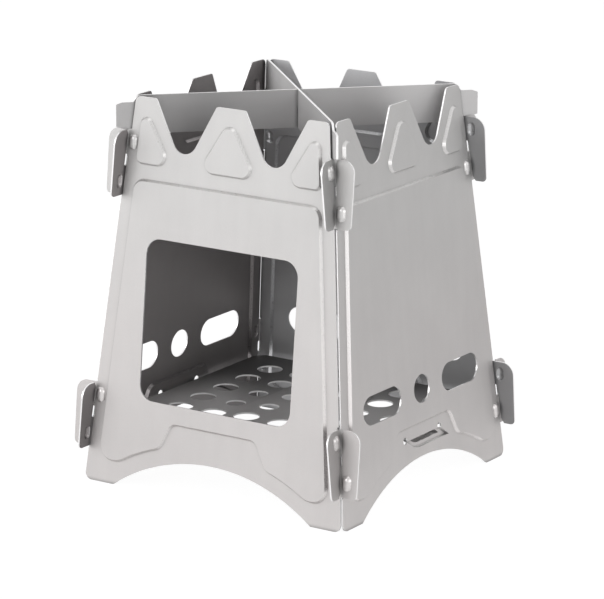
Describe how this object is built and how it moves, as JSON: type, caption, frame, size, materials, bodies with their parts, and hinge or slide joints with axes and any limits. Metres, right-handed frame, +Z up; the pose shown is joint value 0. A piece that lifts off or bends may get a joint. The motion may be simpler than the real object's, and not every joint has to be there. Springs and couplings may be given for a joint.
{
  "type": "wood stove",
  "caption": "Flat-pack camping wood stove: four tapered titanium panels hooked into a square tower, with a fuel window, loose perforated grate and crossed pot bars.",
  "frame": {"origin": "on the ground, in the middle of the square tower", "axes": "+Z up, -Y is the front with the fuel window, +X to the right when looking at the front"},
  "size_m": [0.1256, 0.1256, 0.1458],
  "materials": {
    "panel_titanium": "bead-blasted titanium, matt",
    "grate_titanium": "bead-blasted titanium, matt",
    "bar_titanium": "bead-blasted titanium, matt"
  },
  "bodies": {
    "stove_walls": {"front_panel": "panel_titanium", "right_panel": "panel_titanium", "back_panel": "panel_titanium", "left_panel": "panel_titanium"},
    "fire_grate": {"fire_grate": "grate_titanium"},
    "lower_cross_bar": {"lower_cross_bar": "bar_titanium"},
    "upper_cross_bar": {"upper_cross_bar": "bar_titanium"}
  },
  "joints": [
    {"name": "grate_lift", "type": "slide", "parent": "stove_walls", "child": "fire_grate", "axis": [0, 0, 1], "range_m": [0, 0.008]},
    {"name": "lower_bar_lift", "type": "slide", "parent": "stove_walls", "child": "lower_cross_bar", "axis": [0, 0, 1], "range_m": [0, 0.03]},
    {"name": "upper_bar_lift", "type": "slide", "parent": "lower_cross_bar", "child": "upper_cross_bar", "axis": [0, 0, 1], "range_m": [0, 0.03]}
  ]
}
